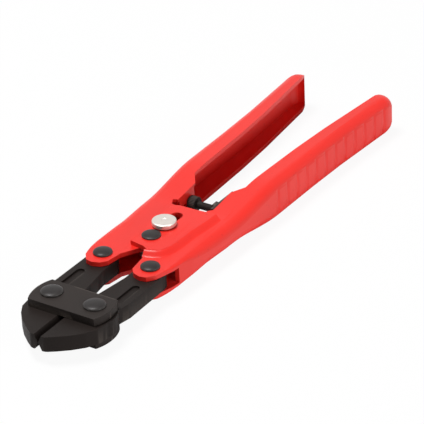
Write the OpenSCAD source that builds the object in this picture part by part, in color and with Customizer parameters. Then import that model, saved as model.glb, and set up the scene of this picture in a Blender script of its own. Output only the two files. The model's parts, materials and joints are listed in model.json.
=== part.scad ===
// Compact compound-action bolt cutters, lying flat. The centre pivot axis is X = 0, Y = 0.
// Jaws point along -X, grips along +X, and Z = 0 is the plane the tool lies on.

/* [Linkage] */
// Distance from the centre pivot forward to the rear jaw rivets
rear_rivet_x = 16.1; // [15.5:0.1:17]
// Distance of each rear jaw rivet from the centre line
rear_rivet_y = 10.4; // [10.2:0.1:11]
// Distance from the centre pivot forward to the link plate rivets
jaw_rivet_x = 48.7; // [46:0.1:51]
// Distance of each link plate rivet from the centre line
jaw_rivet_y = 9.25; // [9:0.05:9.6]

/* [Handles] */
// Length from the centre pivot to the grip ends
grip_end_x = 138; // [125:1:150]
// Height of the grips, measured flange to flange
grip_h = 16; // [15:0.5:18]
// Thickness of the handle sheet
sheet_t = 1.8; // [1.5:0.1:2]
// Radius of the locking ear round the centre pivot
ear_r = 6; // [5.6:0.1:6]

/* [Jaws] */
// Thickness of the forged jaws
jaw_t = 6; // [5:0.1:6.2]
// Distance from the centre pivot forward to the jaw tips
tip_x = 70.4; // [68:0.1:76]
// Half of the hair gap between the cutting edges
edge_gap = 0.15; // [0.1:0.05:0.3]
// Width of each cutting bevel
bevel_w = 1.4; // [1:0.1:2]

/* [Link plates] */
// Thickness of each link plate
plate_t = 3; // [2.4:0.1:3]
// Radius of the rounded plate ends
plate_r = 16; // [15:0.1:17]
// Length of each plate along the tool
plate_l = 14.7; // [13:0.1:16]

/* [Rivets] */
// Shank radius of the jaw rivets
jaw_rivet_r = 2.6; // [2.2:0.1:2.8]
// Head radius of the jaw rivets
jaw_head_r = 4.1; // [3.6:0.1:4.5]
// Shank radius of the centre and rear rivets
pivot_r = 2.2; // [1.8:0.1:2.4]
// Head radius of the centre and rear rivets
pivot_head_r = 3.6; // [3.2:0.1:3.7]
// Height of the jaw and rear rivet heads
head_h = 1.4; // [1:0.1:1.5]

/* [Lock] */
// Radius of the lock pin
lock_r = 2.3; // [2:0.1:2.3]
// Pin centre behind the pivot when just unlocked
lock_x = 8.5; // [8.5:0.1:9]
// Travel of the lock pin to the rear
lock_travel = 8; // [6:0.5:8]
// Depth that the pin would enter the ear notch when locked
notch_depth = 2; // [1:0.1:2]
// Radius of the lock knob
knob_r = 4.6; // [4:0.1:4.7]
// Thickness of the lock knob
knob_h = 2; // [1.5:0.1:3]

/* [Stop] */
// Distance of the stop bolt behind the pivot
stop_x = 37; // [36:0.1:38]
// Radius of the stop bolt shank
stop_r = 1.5; // [1.2:0.1:1.8]
// Radius of the stop bolt head
stop_head_r = 3; // [2.6:0.1:3.4]
// Face of the folded stop tab from the centre line
stop_face_y = 7.9; // [7.8:0.1:8]

/* [Spring] */
// Wire diameter of the opening spring
wire_d = 1.2; // [1:0.1:1.2]

/* [Clearances] */
// Running clearance on each pivot radius
run = 0.05; // [0.02:0.01:0.08]
// Gap between stacked sheets
stack_gap = 0.1; // [0.05:0.05:0.1]
// Radial clearance of the loose pivot in the left of the link plates
loose = 0.2; // [0.18:0.02:0.4]
// Resting gap between the stop bolt and its tab
stop_gap = 0.3; // [0.2:0.05:0.4]

/* [Hidden] */
$fn = 64;
eps = 0.01;
mid_z = grip_h / 2;
jaw_half = jaw_t / 2;
plate_z = jaw_half + stack_gap;
plate_top = plate_z + plate_t;
flange_in = jaw_half + stack_gap;
flange_out = flange_in + sheet_t;
tab_z = flange_out + stack_gap;
tab_top = tab_z + sheet_t;
grip_out = grip_h / 2;
rise_start = 25;
rise_end = 44;
web_start = -9;
plate_mid_x = -jaw_rivet_x - 0.3;
boss_r = 8;
arm_end_r = 5.6;
groove_r = 1.6;
groove_depth = 0.8;
washer_t = 0.3;
washer_r = 3.9;
lock_head_h = 1;
bush_r = 3.1;
coil_r = 4;
coil_turns = floor(jaw_t / (wire_d - 0.05)) - 1;
block_l = 15;
block_out_y = 5.3;
block_in_y = 13.5;
block_x = stop_x - 6;
block_half = inner_half(block_x) - run;
nut_af = 5.5;
nut_h = 2.4;
stop_head_h = 3;
tab_drop = 1;
side_reach = 60;
red = "#f8584a";
dark = "#403a37";

// Half of the room inside the channel at a place between the low and the high part.
function inner_half(x) =
    flange_in + (grip_out - sheet_t - flange_in) * (x - rise_start) / (rise_end - rise_start);

// Flange outline of a handle, front end first, then the outer edge and back along the mouth.
handle_outline = [
    [-7.4, 3.7], [-13.7, 4.5], [-rear_rivet_x - 4, 5.4], [-rear_rivet_x - 6.3, 7.4],
    [-rear_rivet_x - 7.3, rear_rivet_y], [-rear_rivet_x - 6.7, 13.1], [-rear_rivet_x - 3.7, 15.4],
    [-12, 17.6], [0, 18.9], [20, 20.1], [40, 20.6], [60, 20.9], [80, 21.1], [100, 21.7],
    [grip_end_x - 6, 23.7], [grip_end_x - 2.6, 23.4], [grip_end_x - 0.7, 22.2], [grip_end_x, 20.6],
    [grip_end_x, 19.4], [grip_end_x - 1.6, 17.9], [grip_end_x - 5, 17], [100, 13.8], [80, 12.5],
    [60, 11.8], [46, 11.4], [41, stop_face_y], [29, stop_face_y], [27.5, 6.3], [6.5, 5.6]];

// The space inside the channel, open at the mouth and at the front end.
cavity_outline = [
    [-side_reach, -side_reach], [-side_reach, side_reach], [web_start, side_reach],
    [web_start, 17.9 - sheet_t], [0, 18.9 - sheet_t], [20, 20.1 - sheet_t], [40, 20.6 - sheet_t],
    [60, 20.9 - sheet_t], [80, 21.1 - sheet_t], [100, 21.7 - sheet_t],
    [grip_end_x - 7, 23.5 - sheet_t], [grip_end_x - sheet_t - 0.6, 20.6],
    [grip_end_x - sheet_t, 19.4], [grip_end_x - sheet_t, -side_reach]];

// Raised tab of the right handle, and the joggle that lifts it over the other handle.
tab_outline = [[-6.5, 4.7], [2.5, 6.3], [20.8, 5.8], [22.8, 5], [23.5, 3], [23.7, -4.2], [24.5, -12],
    [18.7, -11.8], [10, -10.9], [3.2, -10.7], [-2.9, -10.3], [-7.1, -8.7], [-8.9, -4.3], [-7.5, -1.5]];
joggle_outline = [[-8.9, -4.3], [-7.1, -8.7], [-2.9, -10.3], [3.2, -10.7], [10, -10.9], [18.7, -11.8],
    [24.5, -12], [24.5, -10.2], [18.7, -10], [10, -9.1], [3.2, -8.9], [-2.2, -8.5], [-5.7, -7.3],
    [-7.2, -3.9]];

module slab(z0, z1) {
    translate([0, 0, z0])
        linear_extrude(height = z1 - z0)
            children();
}

module both_faces() {
    children();
    mirror([0, 0, 1])
        children();
}

// Side view of the channel: low at the pivots, rising to the full grip height.
module side_profile(low, high) {
    top = [[-side_reach, low], [rise_start, low], [rise_end, high], [grip_end_x + 1, high]];
    bottom = [[grip_end_x + 1, -high], [rise_end, -high], [rise_start, -low], [-side_reach, -low]];
    translate([0, side_reach, 0])
        rotate([90, 0, 0])
            linear_extrude(height = 2 * side_reach)
                polygon(concat(top, bottom));
}

module channel() {
    difference() {
        intersection() {
            slab(-grip_out - 1, grip_out + 1)
                polygon(handle_outline);
            side_profile(flange_out, grip_out);
        }
        intersection() {
            slab(-grip_out, grip_out)
                polygon(cavity_outline);
            side_profile(flange_in, grip_out - sheet_t);
        }
    }
}

module bore(x, y, r) {
    translate([x, y, -side_reach])
        cylinder(h = 2 * side_reach, r = r);
}

module pin_slot(x0, x1, r) {
    bore(x0, 0, r);
    bore(x1, 0, r);
    translate([x0, -r, -side_reach])
        cube([x1 - x0, 2 * r, 2 * side_reach]);
}

module rivet(grip_half, shank_r, head_r, head) {
    cylinder(h = 2 * grip_half, r = shank_r, center = true);
    both_faces()
        translate([0, 0, grip_half - eps]) {
            cylinder(h = head * 0.4 + eps, r = head_r);
            translate([0, 0, head * 0.4])
                cylinder(h = head * 0.6 + eps, r1 = head_r, r2 = head_r * 0.6);
        }
}

module left_ear() {
    both_faces()
        slab(flange_in, flange_out) {
            circle(r = ear_r);
            polygon([[-13.7, 4.6], [-5.9, 0], [5.9, 0], [7, 5.7], [0, 6.5], [-7.4, 3.8]]);
        }
}

module stop_tabs() {
    intersection() {
        both_faces()
            translate([30, stop_face_y, tab_drop])
                cube([10, sheet_t, grip_out]);
        side_profile(flange_out, grip_out);
    }
}

module handle_left() {
    color(red)
        difference() {
            union() {
                channel();
                left_ear();
                stop_tabs();
            }
            bore(0, 0, pivot_r + run);
            bore(-rear_rivet_x, rear_rivet_y, pivot_r + run);
            pin_slot(ear_r + lock_r - notch_depth, lock_x + lock_travel, lock_r + run);
            slab(-side_reach, side_reach)
                polygon([[25.2, 5], [25.8, 8.6], [28.6, 9.8], [29.2, 8.4], [28.4, 5]]);
        }
}

module handle_right() {
    color(red)
        difference() {
            union() {
                difference() {
                    mirror([0, 1, 0])
                        channel();
                    slab(-tab_z, tab_z)
                        polygon(tab_outline);
                }
                both_faces() {
                    slab(tab_z, tab_top)
                        polygon(tab_outline);
                    slab(flange_in, tab_top)
                        polygon(joggle_outline);
                }
            }
            bore(0, 0, pivot_r + run);
            bore(-rear_rivet_x, -rear_rivet_y, pivot_r + run);
            pin_slot(ear_r + lock_r - notch_depth, lock_x + lock_travel, lock_r + run);
        }
}

// One jaw on the +Y side: cutting part, rivet boss and arm.
module jaw() {
    cutting_end = -jaw_rivet_x - 3.8;
    difference() {
        slab(-jaw_half, jaw_half) {
            polygon([[-tip_x, edge_gap], [cutting_end, edge_gap], [cutting_end + 2, 1], [-44, 1.7],
                [-37, 2.9], [-24, rear_rivet_y - arm_end_r], [-rear_rivet_x, rear_rivet_y - arm_end_r],
                [-rear_rivet_x, rear_rivet_y + arm_end_r], [-37.6, 16.2], [-43, 15.2],
                [-52.8, 16.8], [-57.2, 16.2], [-61.2, 13.8], [-tip_x + 5.4, 10.2],
                [-tip_x + 2.2, 6.2], [-tip_x + 0.3, 3.4], [-tip_x, 2.4]]);
            translate([-rear_rivet_x, rear_rivet_y])
                circle(r = arm_end_r);
            translate([-jaw_rivet_x, jaw_rivet_y])
                circle(r = boss_r);
        }
        both_faces()
            translate([-tip_x - 1, 0, 0])
                rotate([90, 0, 90])
                    linear_extrude(height = tip_x + 1 + cutting_end)
                        polygon([[edge_gap - 1, 0.2], [edge_gap, 0.2], [edge_gap + bevel_w, jaw_half],
                            [edge_gap + bevel_w, jaw_half + 1], [edge_gap - 1, jaw_half + 1]]);
        bore(-jaw_rivet_x, jaw_rivet_y, jaw_rivet_r + run);
        bore(-rear_rivet_x, rear_rivet_y, pivot_r + run);
        both_faces()
            slab(jaw_half - groove_depth, jaw_half + 1)
                translate([-38, 12]) {
                    circle(r = groove_r);
                    translate([0, -groove_r])
                        square([10, 2 * groove_r]);
                    translate([10, 0])
                        circle(r = groove_r);
                }
    }
}

module jaw_left() {
    color(dark)
        jaw();
}

module jaw_right() {
    color(dark)
        mirror([0, 1, 0])
            jaw();
}

module link_plate() {
    difference() {
        intersection() {
            translate([plate_mid_x, 0, plate_z])
                cylinder(h = plate_t, r = plate_r);
            translate([plate_mid_x - plate_l / 2, -plate_r, plate_z])
                cube([plate_l, 2 * plate_r, plate_t]);
        }
        bore(-jaw_rivet_x, jaw_rivet_y, jaw_rivet_r + loose);
        bore(-jaw_rivet_x, -jaw_rivet_y, jaw_rivet_r + run);
    }
}

module link_plate_top() {
    color(dark)
        link_plate();
}

module link_plate_bottom() {
    color(dark)
        mirror([0, 0, 1])
            link_plate();
}

module jaw_rivet(side) {
    color("dimgray")
        translate([-jaw_rivet_x, side * jaw_rivet_y, 0])
            rivet(plate_top + run, jaw_rivet_r, jaw_head_r, head_h);
}

module rear_rivet(side) {
    color("dimgray")
        translate([-rear_rivet_x, side * rear_rivet_y, 0])
            rivet(flange_out + run, pivot_r, pivot_head_r, head_h);
}

module centre_rivet() {
    color("dimgray")
        rivet(tab_top + run, pivot_r, pivot_head_r, grip_out - tab_top - run - eps);
}

module centre_bush() {
    color("silver")
        difference() {
            cylinder(h = jaw_t, r = bush_r, center = true);
            bore(0, 0, pivot_r + run);
        }
}

// Close-wound coil round the bush, with one leg along the inside of each handle.
module opening_spring() {
    color("silver") {
        for (turn = [0:coil_turns - 1])
            translate([0, 0, (turn - (coil_turns - 1) / 2) * (wire_d - 0.05)])
                rotate_extrude()
                    translate([coil_r, 0])
                        circle(d = wire_d, $fn = 24);
        for (side = [-1, 1])
            translate([0, side * coil_r, side * (coil_turns - 1) / 2 * (wire_d - 0.05)])
                rotate([0, 90, side * 24])
                    cylinder(h = 27, d = wire_d);
    }
}

module lock_pin() {
    color("silver")
        translate([lock_x, 0, -tab_top - run])
            cylinder(h = 2 * tab_top + 2 * run + washer_t, r = lock_r);
}

module lock_knob() {
    color("gainsboro")
        translate([lock_x, 0, tab_top + run + washer_t])
            cylinder(h = knob_h, r = knob_r);
}

module lock_wave_washer() {
    color("silver")
        translate([lock_x, 0, tab_top + run])
            difference() {
                cylinder(h = washer_t, r = washer_r);
                bore(0, 0, lock_r + run);
            }
}

module lock_washer() {
    color("silver")
        translate([lock_x, 0, -tab_top - run - lock_head_h])
            cylinder(h = lock_head_h, r = washer_r);
}

module along_stop(y) {
    translate([stop_x, y, 0])
        rotate([-90, 0, 0])
            children();
}

module stop_bolt() {
    head_y = stop_face_y - stop_gap - stop_head_h;
    color(dark) {
        along_stop(head_y)
            cylinder(h = stop_head_h, r = stop_head_r);
        along_stop(-block_in_y)
            cylinder(h = block_in_y + head_y + eps, r = stop_r);
    }
}

module stop_nut() {
    color("gray")
        along_stop(-block_out_y + run)
            difference() {
                cylinder(h = nut_h, d = nut_af / cos(30), $fn = 6);
                bore(0, 0, stop_r + run);
            }
}

module stop_block() {
    color(dark)
        difference() {
            translate([block_x, -block_in_y, -block_half])
                cube([block_l, block_in_y - block_out_y, 2 * block_half]);
            along_stop(-block_in_y - 1)
                cylinder(h = block_in_y, r = stop_r + run);
        }
}

translate([0, 0, mid_z]) {
    handle_left();
    handle_right();
    jaw_left();
    jaw_right();
    link_plate_top();
    link_plate_bottom();
    jaw_rivet(1);  // jaw_rivet_left
    jaw_rivet(-1);  // jaw_rivet_right
    rear_rivet(1);  // rear_rivet_left
    rear_rivet(-1);  // rear_rivet_right
    centre_rivet();
    centre_bush();
    opening_spring();
    lock_pin();
    lock_knob();
    lock_wave_washer();
    lock_washer();
    stop_bolt();
    stop_nut();
    stop_block();
}
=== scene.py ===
import json
import math

import bmesh
import bpy
from mathutils import Matrix, Vector


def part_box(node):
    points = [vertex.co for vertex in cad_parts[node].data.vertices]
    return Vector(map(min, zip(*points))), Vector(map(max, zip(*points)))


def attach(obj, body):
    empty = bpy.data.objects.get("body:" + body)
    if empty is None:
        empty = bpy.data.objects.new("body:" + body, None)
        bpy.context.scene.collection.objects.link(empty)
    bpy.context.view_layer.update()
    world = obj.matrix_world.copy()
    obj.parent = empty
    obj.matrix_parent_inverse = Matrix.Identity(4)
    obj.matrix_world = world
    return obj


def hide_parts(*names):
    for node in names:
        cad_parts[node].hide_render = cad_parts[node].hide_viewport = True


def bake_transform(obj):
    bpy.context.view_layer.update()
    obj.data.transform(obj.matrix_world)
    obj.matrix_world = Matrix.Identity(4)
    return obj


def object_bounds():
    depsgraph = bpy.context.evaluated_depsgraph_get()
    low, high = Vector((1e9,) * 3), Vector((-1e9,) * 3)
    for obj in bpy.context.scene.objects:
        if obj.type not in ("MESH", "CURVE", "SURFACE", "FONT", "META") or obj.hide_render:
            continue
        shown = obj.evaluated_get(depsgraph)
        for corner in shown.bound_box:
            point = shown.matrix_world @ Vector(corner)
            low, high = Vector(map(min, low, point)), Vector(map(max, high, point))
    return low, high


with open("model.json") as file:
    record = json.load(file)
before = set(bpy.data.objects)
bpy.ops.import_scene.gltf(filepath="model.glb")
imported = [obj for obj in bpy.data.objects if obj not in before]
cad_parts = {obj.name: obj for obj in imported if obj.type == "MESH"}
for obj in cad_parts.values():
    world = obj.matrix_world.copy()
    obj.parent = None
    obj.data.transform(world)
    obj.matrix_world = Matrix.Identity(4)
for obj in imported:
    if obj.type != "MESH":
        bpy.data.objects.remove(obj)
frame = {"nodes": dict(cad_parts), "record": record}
cad_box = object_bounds()

# Camera. A long lens looks along the tool from the jaw end, from the right handle's side.
# The aim is a point between the handles, behind the pivot, in the tool's middle plane.
MM = 0.001
aim = Vector((34.9, -3.3, 8.0)) * MM
azimuth = math.radians(-55.55)
elevation = math.radians(29.8)
roll = math.radians(-2.7)
reach = 0.967
right = Vector((math.cos(azimuth), math.sin(azimuth), 0))
back = Vector((
    math.sin(azimuth) * math.cos(elevation),
    -math.cos(azimuth) * math.cos(elevation),
    math.sin(elevation),
))
up = back.cross(right)
camera_data = bpy.data.cameras.new("camera")
camera_data.lens = 219.5
camera_data.sensor_width = 36
camera_data.clip_end = 20
camera = bpy.data.objects.new("camera", camera_data)
bpy.context.collection.objects.link(camera)
turn = Matrix((right, up, back)).transposed()
turn = turn @ Matrix.Rotation(roll, 3, "Z")
camera.matrix_world = Matrix.Translation(aim + back * reach) @ turn.to_4x4()
bpy.context.scene.camera = camera
bpy.context.scene.view_settings.view_transform = "Standard"


# Floor and light. A pale paper floor that keeps a faint shadow, under two soft lamps and a dim sky.
# The sky is white behind the tool and in its reflections.
class Value:
    """A shader socket that takes part in Python arithmetic."""

    def __init__(self, finish, socket):
        self.finish = finish
        self.socket = socket

    def math(self, operation, first, second):
        return self.finish.node("ShaderNodeMath", {"operation": operation}, {0: first, 1: second})

    def __add__(self, other):
        return self.math("ADD", self, other)

    def __sub__(self, other):
        return self.math("SUBTRACT", self, other)

    def __mul__(self, other):
        return self.math("MULTIPLY", self, other)

    def __rsub__(self, other):
        return self.math("SUBTRACT", other, self)

    __radd__ = __add__
    __rmul__ = __mul__


class Finish:
    """A material whose nodes are all made by one method."""

    def __init__(self, name):
        self.material = bpy.data.materials.new(name)
        self.material.use_nodes = True
        self.tree = self.material.node_tree
        self.tree.nodes.clear()

    def node(self, kind, settings=None, sockets=None, output=0):
        made = self.tree.nodes.new(kind)
        for key, value in (settings or {}).items():
            setattr(made, key, value)
        for key, value in (sockets or {}).items():
            if isinstance(value, Value):
                self.tree.links.new(value.socket, made.inputs[key])
            else:
                made.inputs[key].default_value = value
        return Value(self, made.outputs[output])

    def mix(self, factor, first, second):
        """Blends two colours. A colour Mix node has its colour sockets at these places."""
        sockets = {0: factor, 6: first, 7: second}
        return self.node("ShaderNodeMix", {"data_type": "RGBA"}, sockets, output=2)

    def place(self, scale):
        """Object coordinates, squeezed or stretched along each axis."""
        where = self.node("ShaderNodeTexCoord", output=3)
        return self.node("ShaderNodeMapping", None, {"Vector": where, "Scale": scale})

    def noise(self, scale, detail, stretch=(1, 1, 1)):
        sockets = {"Vector": self.place(stretch), "Scale": scale, "Detail": detail}
        return self.node("ShaderNodeTexNoise", None, sockets)

    def step(self, value, low, high):
        """0 below low, 1 above high, and a ramp between."""
        sockets = {"Value": value, "From Min": low, "From Max": high}
        return self.node("ShaderNodeMapRange", {"clamp": True}, sockets)

    def edges(self, low, high):
        """1 along sharp outside edges, where handling rubs first."""
        return self.step(self.node("ShaderNodeNewGeometry", output=7), low, high)

    def surface(self, sockets, bump, depth, strength):
        """The finished material, with a fine relief depth metres high."""
        relief = {"Height": bump, "Distance": depth, "Strength": strength}
        sockets = dict(sockets, Normal=self.node("ShaderNodeBump", None, relief))
        self.show(self.node("ShaderNodeBsdfPrincipled", None, sockets))
        return self.material

    def show(self, shader):
        out = self.tree.nodes.new("ShaderNodeOutputMaterial")
        self.tree.links.new(shader.socket, out.inputs["Surface"])


paper_white = 0.93
floor_half = 3
floor_drop = 0.0002
paper = Finish("paper")
seen = paper.node("ShaderNodeLightPath", output=0)
white = paper.node("ShaderNodeEmission", None, {"Color": (1, 1, 1, 1), "Strength": 1.0})
matt = paper.node("ShaderNodeBsdfDiffuse", None, {"Color": (0.85, 0.85, 0.85, 1)})
paper.show(paper.node("ShaderNodeMixShader", None, {0: seen * paper_white, 1: matt, 2: white}))
floor_mesh = bpy.data.meshes.new("floor")
floor_bm = bmesh.new()
bmesh.ops.create_grid(floor_bm, x_segments=1, y_segments=1, size=floor_half)
floor_bm.to_mesh(floor_mesh)
floor_bm.free()
floor_mesh.materials.append(paper.material)
floor = bpy.data.objects.new("floor", floor_mesh)
floor.location.z = cad_box[0][2] - floor_drop
bpy.context.collection.objects.link(floor)

sky_light = 0.12
world = bpy.data.worlds.new("sky")
world.use_nodes = True
bpy.context.scene.world = world
sky = world.node_tree
path = sky.nodes.new("ShaderNodeLightPath")
level = sky.nodes.new("ShaderNodeMapRange")
level.inputs["To Min"].default_value = sky_light
level.inputs["To Max"].default_value = 1.0
seen_or_mirrored = sky.nodes.new("ShaderNodeMath")
seen_or_mirrored.operation = "MAXIMUM"
sky.links.new(path.outputs["Is Camera Ray"], seen_or_mirrored.inputs[0])
sky.links.new(path.outputs["Is Glossy Ray"], seen_or_mirrored.inputs[1])
sky.links.new(seen_or_mirrored.outputs[0], level.inputs["Value"])
sky.links.new(level.outputs["Result"], sky.nodes["Background"].inputs["Strength"])
sky.nodes["Background"].inputs["Color"].default_value = (1, 1, 1, 1)


def lamp(name, place, size, watts):
    data = bpy.data.lights.new(name, "AREA")
    data.size = size
    data.energy = watts
    made = bpy.data.objects.new(name, data)
    made.location = place
    made.rotation_euler = (aim - Vector(place)).to_track_quat("-Z", "Y").to_euler()
    bpy.context.collection.objects.link(made)


lamp("key_lamp", (-0.1, 0.3, 1.25), 0.4, 16.5)
lamp("fill_lamp", (-0.1, -1.2, 0.3), 0.5, 7)


# Handles: pressed steel sheet in red enamel, folded to a channel that opens inward.
# The folds are wide bends, the grip ends are closed cups, and shallow ribs cross each grip.
def fresh(name, bm, material):
    """Turns a bmesh into a finished object with smooth faces."""
    for face in bm.faces:
        face.smooth = True
    mesh = bpy.data.meshes.new(name)
    bm.to_mesh(mesh)
    bm.free()
    mesh.materials.append(material)
    made = bpy.data.objects.new(name, mesh)
    bpy.context.collection.objects.link(made)
    return made


weld = 2e-6


def merged_copy(node):
    """A copy of a CAD node's mesh, with its loose triangles joined."""
    bm = bmesh.new()
    bm.from_mesh(frame["nodes"][node].data)
    bmesh.ops.remove_doubles(bm, verts=bm.verts, dist=weld)
    return bm


def break_edges(piece, width, segments, angle):
    """Rounds the sharp edges, as tumbling and paint do."""
    bevel = piece.modifiers.new("edges", "BEVEL")
    bevel.width = width
    bevel.segments = segments
    bevel.limit_method = "ANGLE"
    bevel.angle_limit = math.radians(angle)
    bevel.use_clamp_overlap = True
    piece.modifiers.new("flats", "WEIGHTED_NORMAL").keep_sharp = True


flat_angle = math.radians(0.6)
level_enough = 0.9
snap = 0.00012


def gridded(bm, spacing):
    """Cuts level faces into small cells, so that edge wear and shading stay near the edges."""
    bmesh.ops.dissolve_limit(bm, angle_limit=flat_angle, verts=bm.verts, edges=bm.edges)
    for axis in (0, 1):
        low = min(vert.co[axis] for vert in bm.verts)
        high = max(vert.co[axis] for vert in bm.verts)
        normal = [0, 0, 0]
        normal[axis] = 1
        for k in range(int((high - low) / spacing)):
            place = [0, 0, 0]
            place[axis] = low + (k + 0.5) * spacing
            flats = [face for face in bm.faces if abs(face.normal.z) > level_enough]
            rims = dict.fromkeys(part for face in flats for part in (*face.verts, *face.edges))
            bmesh.ops.bisect_plane(bm, geom=[*rims, *flats], plane_co=place, plane_no=normal, dist=snap)


def body_of(node):
    bodies = frame["record"]["behaviour"]["bodies"]
    return next(body for body, nodes in bodies.items() if node in nodes)


def stand_for(piece, node):
    """The piece is seen in place of the CAD node, and moves with the node's body."""
    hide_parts(node)
    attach(piece, body_of(node))


def lofted(rings):
    """A closed bar through rings of points, with a flat cap at each end."""
    bm = bmesh.new()
    loops = []
    for ring in rings:
        points = [bm.verts.new(place) for place in ring]
        loops.append([bm.edges.new(pair) for pair in zip(points, points[1:] + points[:1])])
    for loop, following in zip(loops, loops[1:]):
        bmesh.ops.bridge_loops(bm, edges=loop + following)
    for loop in (loops[0], loops[-1]):
        bmesh.ops.contextual_create(bm, geom=loop)
    bmesh.ops.recalc_face_normals(bm, faces=bm.faces)
    return bm


def eased(share):
    """A smooth S from 0 to 1."""
    return share * share * (3 - 2 * share)


mid_z = 0.008
fold_r = 0.0042
fold_steps = 8
fold_start = -0.022
fold_grows_over = 0.03
least_fold = 0.06
flange_half = 0.00491
grip_half = 0.008
clear_half = 0.0095
tab_end = 0.0246
envelope_slack = 0.00005
grip_slack = 0.00001
fold_margin = 0.001
far_inside = -0.03
rise_start = 0.0248
rise_end = 0.055
cup_start = 0.132
grip_end = 0.138
cup_drop = 0.0035
# Points in millimetres along the outside of the channel.
outer_edge = (
    (-26, 14.5), (-19.8, 15.9), (-12, 17.8), (0, 18.9), (20, 20.1), (40, 20.6), (60, 20.9),
    (80, 21.1), (100, 21.7), (132, 23.7), (135.4, 23.4), (137.3, 22.2), (138, 20.6),
)


def edge_at(x):
    """How far the outside of the channel lies from the centre line."""
    x = x / MM
    if x <= outer_edge[0][0]:
        return outer_edge[0][1] * MM
    for (x0, y0), (x1, y1) in zip(outer_edge, outer_edge[1:]):
        if x <= x1:
            return (y0 + (y1 - y0) * (x - x0) / (x1 - x0)) * MM
    return outer_edge[-1][1] * MM


def half_height(x):
    """Half of the channel's height, which rises from the pivots to the grip."""
    share = min(max((x - rise_start) / (rise_end - rise_start), 0), 1)
    return flange_half + (grip_half - flange_half) * eased(share)


def folded_envelope(side):
    """A closed bar with the channel's rounded outside, from ahead of the rivet to the cupped end."""
    front = [-0.03, -0.022, -0.018, -0.014, -0.01, -0.005, 0, 0.004, 0.008, 0.014, 0.02, tab_end]
    rise = [tab_end + 0.0001 + 0.0018 * k for k in range(18)]
    grip = [0.06 + 0.004 * k for k in range(18)]
    cup = [0.1316, 0.1332, 0.1347, 0.136, 0.137, 0.1376, grip_end]
    rings = []
    for x in front + rise + grip + cup:
        into_cup = max(0, (x - cup_start) / (grip_end - cup_start))
        half = half_height(x) - cup_drop * (1 - math.sqrt(max(0, 1 - into_cup * into_cup)))
        y = edge_at(x) + envelope_slack
        radius = fold_r * min(max((x - fold_start) / fold_grows_over, least_fold), 1)
        flat = y - radius - fold_margin
        clear = clear_half if x <= tab_end else half + grip_slack
        section = [(far_inside, clear), (flat, clear), (flat, half)]
        for k in range(fold_steps + 1):
            angle = math.radians(90) * (1 - k / fold_steps)
            out_to = y - radius + radius * math.cos(angle)
            up_to = half - radius + radius * math.sin(angle)
            section.append((out_to, up_to))
        section += [(across, -height) for across, height in reversed(section)]
        rings.append([(x, side * across, mid_z + height) for across, height in section])
    return lofted(rings)


rib_count = 12
rib_start = 0.054
rib_pitch = 0.0068
rib_r = 0.0024
rib_depth = 0.0003
rib_length = 0.03


def rib_cutters(side):
    """Upright rods that sink shallow hollows into the outside of a grip."""
    bm = bmesh.new()
    for k in range(rib_count):
        x = rib_start + k * rib_pitch
        y = side * (edge_at(x) + rib_r - rib_depth)
        matrix = Matrix.Translation((x, y, mid_z))
        bmesh.ops.create_cone(bm, cap_ends=True, segments=32, radius1=rib_r, radius2=rib_r,
            depth=rib_length, matrix=matrix)
    return bm


def carve(bm, cutter, operation):
    """Cuts, joins or trims a closed mesh with another, and gives back the result."""
    pair = []
    for source in (bm, cutter):
        mesh = bpy.data.meshes.new("carving")
        source.to_mesh(mesh)
        source.free()
        made = bpy.data.objects.new("carving", mesh)
        bpy.context.collection.objects.link(made)
        pair.append(made)
    tool = pair[0].modifiers.new("carve", "BOOLEAN")
    tool.operation = operation
    tool.solver = "EXACT"
    tool.object = pair[1]
    graph = bpy.context.evaluated_depsgraph_get()
    result = bmesh.new()
    result.from_object(pair[0], graph)
    for made in pair:
        bpy.data.objects.remove(made)
    return result


# The joggle's line and sizes are in millimetres.
joggle_line = (
    (-9.2, -3.2), (-8.9, -4.6), (-8.3, -6.6), (-7.1, -8.7), (-5.2, -9.7), (-2.9, -10.3),
    (0, -10.6), (3.2, -10.7), (10, -10.9), (18.7, -11.8), (24.4, -12.0),
)
joggle_reach = 2.6
joggle_root = 1.4
joggle_steps = 8
tab_top = 6.8
tab_shoulder = 0.7
slope_top = 6.75
slope_foot = 4.9
sunk = 4.4


def joggle_skirt(way):
    """The sloping foot of the raised tab, swept along the line where it leaves the flange."""
    section = [(-joggle_root, sunk), (-joggle_root, tab_top - tab_shoulder)]
    for n in range(joggle_steps + 1):
        share = n / joggle_steps
        section.append((joggle_reach * share, slope_top - (slope_top - slope_foot) * eased(share)))
    section.append((joggle_reach, sunk))
    rings = []
    for k, (x, y) in enumerate(joggle_line):
        before = Vector(joggle_line[max(k - 1, 0)])
        after = Vector(joggle_line[min(k + 1, len(joggle_line) - 1)])
        along = (after - before).normalized()
        out_x = along.y
        out_y = -along.x
        rings.append([((x + out_x * reach) * MM, (y + out_y * reach) * MM, mid_z + way * height * MM)
            for reach, height in section])
    return lofted(rings)


enamel = Finish("red_enamel")
orange_peel = enamel.noise(900, 2)
dapple = enamel.noise(38, 5)
rubbed = enamel.step(enamel.noise(700, 4), 0.66, 0.74)
red = enamel.mix(dapple, (0.74, 0.016, 0.010, 1), (0.84, 0.026, 0.016, 1))
red = enamel.mix(rubbed * 0.3, red, (0.4, 0.012, 0.01, 1))
scuffs = enamel.step(enamel.noise(60, 8, (1, 6, 1)), 0.6, 0.75)
enamel_paint = enamel.surface(
    {"Base Color": red, "Roughness": 0.36 + scuffs * 0.14 + dapple * 0.1, "Coat Weight": 0.12,
        "Coat Roughness": 0.25, "Specular IOR Level": 0.3},
    bump=orange_peel, depth=0.00003, strength=0.35)

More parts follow.
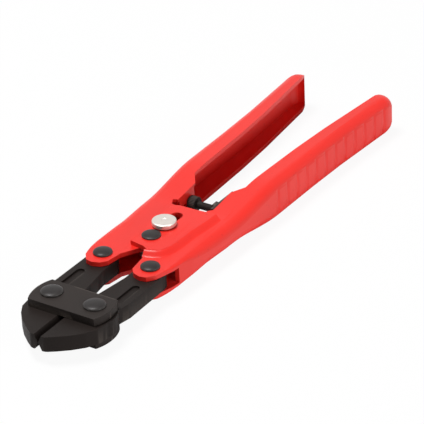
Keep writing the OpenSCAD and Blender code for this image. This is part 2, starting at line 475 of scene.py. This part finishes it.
sheet_edge = 0.0004
handle_cell = 0.002
seam = 5e-6
for node, side in (("handle_left", 1), ("handle_right", -1)):
    shell = carve(merged_copy(node), folded_envelope(side), "INTERSECT")
    shell = carve(shell, rib_cutters(side), "DIFFERENCE")
    if node == "handle_right":
        shell = carve(shell, joggle_skirt(1), "UNION")
        shell = carve(shell, joggle_skirt(-1), "UNION")
    bmesh.ops.remove_doubles(shell, verts=shell.verts, dist=seam)
    gridded(shell, handle_cell)
    handle = fresh(node + "_sheet", shell, enamel_paint)
    break_edges(handle, sheet_edge, 2, 32)
    stand_for(handle, node)


# Jaws: a mirrored pair, forged in steel with an arm behind, then heat-blackened to a brown black.
# The bevels are ground after forging, and every edge has worn a little brighter.
light_tone = 1.7
black_polish = 0.1


def blackened(name, dark, worn, grain):
    """Heat-blackened steel, cloudy and finely drawn along its grain."""
    finish = Finish(name)
    cloud = finish.noise(70, 6)
    streak = finish.noise(420, 3, grain)
    rub = finish.edges(0.54, 0.66)
    lighter = tuple(channel * light_tone for channel in dark[:3]) + (1,)
    colour = finish.mix(cloud, dark, lighter)
    colour = finish.mix(rub * 0.5, colour, worn)
    roughness = 0.4 + cloud * 0.2 - rub * 0.1
    return finish.surface(
        {"Base Color": colour, "Metallic": 0.0, "Specular IOR Level": black_polish, "Roughness": roughness},
        bump=streak + finish.noise(900, 2) * 0.4, depth=0.00005, strength=0.3)


dressed_cell = 0.0012
hard_corner = 40


def dressed(node, width, material, angle):
    """A CAD node's own shape with its edges rounded, in its finish."""
    bm = merged_copy(node)
    gridded(bm, dressed_cell)
    piece = fresh(node + "_dressed", bm, material)
    break_edges(piece, width, 3, angle)
    stand_for(piece, node)


jaw_steel = blackened("forged_steel", (0.0105, 0.0076, 0.0066, 1), (0.08, 0.065, 0.055, 1), (0.2, 1, 1))
jaw_edge = 0.0005
for node in ("jaw_left", "jaw_right"):
    dressed(node, jaw_edge, jaw_steel, hard_corner)


# Link plates: a pair blanked from thick strip with round ends, blackened like the jaws.
# One lies above the jaws and one below, and the jaw rivets pass through both.
plate_steel = blackened("plate_steel", (0.019, 0.015, 0.0135, 1), (0.17, 0.14, 0.12, 1), (1, 0.2, 1))
plate_edge = 0.0007
for node in ("link_plate_top", "link_plate_bottom"):
    dressed(node, plate_edge, plate_steel, hard_corner)


# Rivets: turned steel pins with low domed heads formed on both ends, dark oxide finish.
# Each head has a short upright rim under its dome.
spun_weld = 1e-6


def spun(profile, steps):
    """A solid of revolution about Z from (radius, height) points in millimetres, bottom to top."""
    bm = bmesh.new()
    points = [bm.verts.new((radius * MM, 0, height * MM)) for radius, height in profile]
    lines = [bm.edges.new(pair) for pair in zip(points, points[1:])]
    bmesh.ops.spin(bm, geom=points + lines, cent=(0, 0, 0), axis=(0, 0, 1), angle=2 * math.pi,
        steps=steps, use_merge=True)
    bmesh.ops.remove_doubles(bm, verts=bm.verts, dist=spun_weld)
    bmesh.ops.recalc_face_normals(bm, faces=bm.faces)
    return bm


oxide = Finish("dark_oxide")
oxide_cloud = oxide.noise(220, 6)
oxide_rub = oxide.edges(0.51, 0.6)
oxide_colour = oxide.mix(oxide_cloud, (0.011, 0.009, 0.009, 1), (0.026, 0.022, 0.021, 1))
oxide_colour = oxide.mix(oxide_rub * 0.5, oxide_colour, (0.2, 0.19, 0.18, 1))
rivet_steel = oxide.surface(
    {"Base Color": oxide_colour, "Metallic": 0.0, "Specular IOR Level": 0.2,
        "Roughness": 0.26 + oxide_cloud * 0.22},
    bump=oxide.noise(1100, 3), depth=0.00003, strength=0.3)
rim_share = 0.3
dome_steps = 12
under_chamfer = 0.15
rivet_steps = 64


def domed_rivet(node, shank_r, head_h):
    low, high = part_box(node)
    centre = (Vector(low) + Vector(high)) / 2
    head_r = (high[0] - low[0]) / 2 / MM
    half = (high[2] - low[2]) / 2 / MM
    base = half - head_h
    rim = head_h * rim_share
    angles = [math.radians(90) * k / dome_steps for k in range(dome_steps)]
    dome = [(head_r * math.cos(angle), base + rim + (head_h - rim) * math.sin(angle)) for angle in angles]
    shank = [(shank_r, 0), (shank_r, base), (head_r - under_chamfer, base), (head_r, base + under_chamfer)]
    upper = shank + dome + [(0, half)]
    lower = [(radius, -height) for radius, height in reversed(upper[1:])]
    bm = spun(lower + upper, rivet_steps)
    bmesh.ops.translate(bm, verts=bm.verts, vec=centre)
    stand_for(fresh(node + "_domed", bm, rivet_steel), node)


for side in ("left", "right"):
    domed_rivet("jaw_rivet_" + side, shank_r=2.6, head_h=1.4)
for side in ("left", "right"):
    domed_rivet("rear_rivet_" + side, shank_r=2.2, head_h=1.4)
domed_rivet("centre_rivet", shank_r=2.2, head_h=1.1)


# Lock knob: a turned, satin-plated disc on the lock pin, with a bevelled rim and a faint centre mark.
# It is fixed on the upper end of the pin, which slides in a slot in the raised tab.
satin = Finish("satin_plate")
turned = satin.noise(500, 3)
satin_colour = satin.mix(satin.noise(90, 4), (0.58, 0.53, 0.48, 1), (0.72, 0.67, 0.62, 1))
knob_metal = satin.surface(
    {"Base Color": satin_colour, "Metallic": 0.75, "Roughness": 0.32 + turned * 0.16},
    bump=turned, depth=0.00003, strength=0.25)
knob_low, knob_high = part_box("lock_knob")
knob_middle = (Vector(knob_low) + Vector(knob_high)) / 2
knob_r = (knob_high[0] - knob_low[0]) / 2 / MM
knob_h = (knob_high[2] - knob_low[2]) / MM
lower_bevel = 0.3
upper_bevel = 0.4
mark_r = 1.1
mark_floor_r = 0.9
mark_depth = 0.2
knob_steps = 96
knob = spun([
    (0, 0), (knob_r - lower_bevel, 0), (knob_r, lower_bevel), (knob_r, knob_h - upper_bevel),
    (knob_r - 0.1, knob_h - 0.15), (knob_r - 0.45, knob_h), (mark_r, knob_h),
    (mark_floor_r, knob_h - 0.12), (0, knob_h - mark_depth),
], knob_steps)
bmesh.ops.translate(knob, verts=knob.verts, vec=(knob_middle.x, knob_middle.y, knob_low[2]))
knob_piece = fresh("lock_knob_turned", knob, knob_metal)
break_edges(knob_piece, 0.00008, 2, 20)
stand_for(knob_piece, "lock_knob")


# Lock pin, its two washers and the centre bush: turned and pressed steel, bright zinc-plated.
# The wave washer holds the pin by friction, and the bush spaces the flanges at the centre rivet.
zinc = Finish("zinc_plate")
zinc_cloud = zinc.noise(150, 5)
zinc_colour = zinc.mix(zinc_cloud, (0.3, 0.28, 0.26, 1), (0.48, 0.46, 0.43, 1))
zinc_steel = zinc.surface(
    {"Base Color": zinc_colour, "Metallic": 0.85, "Roughness": 0.28 + zinc_cloud * 0.2},
    bump=zinc.noise(700, 3), depth=0.00003, strength=0.25)
plated_edge = 0.00012
turned_corner = 32
for node in ("lock_pin", "lock_washer", "lock_wave_washer", "centre_bush"):
    dressed(node, plated_edge, zinc_steel, turned_corner)


# Stop block and lock nut: the block is a threaded steel lug fixed in the right handle's channel.
# The nut locks the stop bolt against it. Both are blackened like the link plates.
dressed("stop_block", 0.0004, plate_steel, hard_corner)
dressed("stop_nut", 0.00035, plate_steel, hard_corner)


# Stop bolt: a blackened screw with a straight-knurled head that meets the folded tab when the jaws close.
# The thread shows between the head, the lock nut and the block.
bolt_low, bolt_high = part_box("stop_bolt")
bolt_l = (bolt_high[1] - bolt_low[1]) / MM
bolt_x = (bolt_low[0] + bolt_high[0]) / 2
head_l = 3.0
head_r = (bolt_high[0] - bolt_low[0]) / 2 / MM
shank_l = bolt_l - head_l
thread_r = 1.5
thread_depth = 0.25
pitch = 0.5
root_rise = 0.02
neck_r = 1.2
neck_l = 0.4
bolt_steps = 40
root_r = thread_r - thread_depth
thread = [(0, 0), (thread_r - 0.3, 0)]
for k in range(int(shank_l / pitch)):
    thread += [(root_r, k * pitch + root_rise), (thread_r, k * pitch + pitch / 2)]
thread += [(root_r, shank_l), (neck_r, shank_l + neck_l), (0, shank_l + neck_l)]
bolt = spun(thread, bolt_steps)

teeth = 30
tooth_share = 0.93
cap_inset = 0.00025
cap_rise = 0.0002
head_middle = Matrix.Translation((0, 0, (shank_l + head_l / 2) * MM))
head = bmesh.new()
bmesh.ops.create_cone(head, cap_ends=True, segments=teeth * 2, radius1=head_r * MM, radius2=head_r * MM,
    depth=head_l * MM, matrix=head_middle)
for vert in head.verts:
    tooth = round(math.atan2(vert.co.y, vert.co.x) / math.pi * teeth)
    if tooth % 2:
        vert.co.x *= tooth_share
        vert.co.y *= tooth_share
caps = [face for face in head.faces if abs(face.normal.z) > level_enough]
bmesh.ops.inset_region(head, faces=caps, thickness=cap_inset, depth=cap_rise)
head_mesh = bpy.data.meshes.new("head")
head.to_mesh(head_mesh)
head.free()
bolt.from_mesh(head_mesh)
across = Matrix.Rotation(math.radians(-90), 3, "X")
bmesh.ops.rotate(bolt, verts=bolt.verts, cent=(0, 0, 0), matrix=across)
bmesh.ops.translate(bolt, verts=bolt.verts, vec=(bolt_x, bolt_low[1], mid_z))
bolt_piece = fresh("stop_bolt_knurled", bolt, plate_steel)
break_edges(bolt_piece, 0.00006, 1, 50)
stand_for(bolt_piece, "stop_bolt")


# Opening spring: close-wound round wire about the bush, with a straight leg along each handle.
# It crosses the centre pivot, so one leg lies along each handle. The wire is not attached to either handle,
# so it stays still when they turn.
# Each leg folds straight back from its end of the coil, without the bend that a real wire has.
wire_r = 0.0006
wire_sides = 12
coil_r = 0.004
turns = 3.5
spring_steps = 180
rise_per_turn = 0.00122
leg_along = 0.0235
leg_apart = 0.0095
coil_h = rise_per_turn * turns
spring = bmesh.new()
upright = Matrix.Rotation(math.radians(90), 4, "X")
ring = bmesh.ops.create_circle(spring, segments=wire_sides, radius=wire_r, matrix=upright)
bmesh.ops.translate(spring, verts=ring["verts"], vec=(coil_r, 0, 0))
wound = bmesh.ops.spin(spring, geom=spring.verts[:] + spring.edges[:], cent=(0, 0, 0), axis=(0, 0, 1),
    angle=2 * math.pi * turns, steps=spring_steps, dvec=(0, 0, coil_h / spring_steps))
last_ring = [part for part in wound["geom_last"] if isinstance(part, bmesh.types.BMEdge)]
first_ring = [edge for edge in spring.edges if edge.is_boundary and edge not in last_ring]
quarter_back = Matrix.Rotation(math.radians(-90), 3, "Z")
bmesh.ops.rotate(spring, verts=spring.verts, cent=(0, 0, 0), matrix=quarter_back)
for loop, way in ((first_ring, -1), (last_ring, 1)):
    leg = bmesh.ops.extrude_edge_only(spring, edges=loop)
    tip = [part for part in leg["geom"] if isinstance(part, bmesh.types.BMVert)]
    bmesh.ops.translate(spring, verts=tip, vec=(leg_along, way * leg_apart, 0))
    rim = [part for part in leg["geom"] if isinstance(part, bmesh.types.BMEdge) and part.is_boundary]
    bmesh.ops.contextual_create(spring, geom=rim)
bmesh.ops.translate(spring, verts=spring.verts, vec=(0, 0, mid_z - coil_h / 2))
bmesh.ops.recalc_face_normals(spring, faces=spring.faces)
spring_piece = fresh("opening_spring_wire", spring, zinc_steel)
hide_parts("opening_spring")
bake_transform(spring_piece)
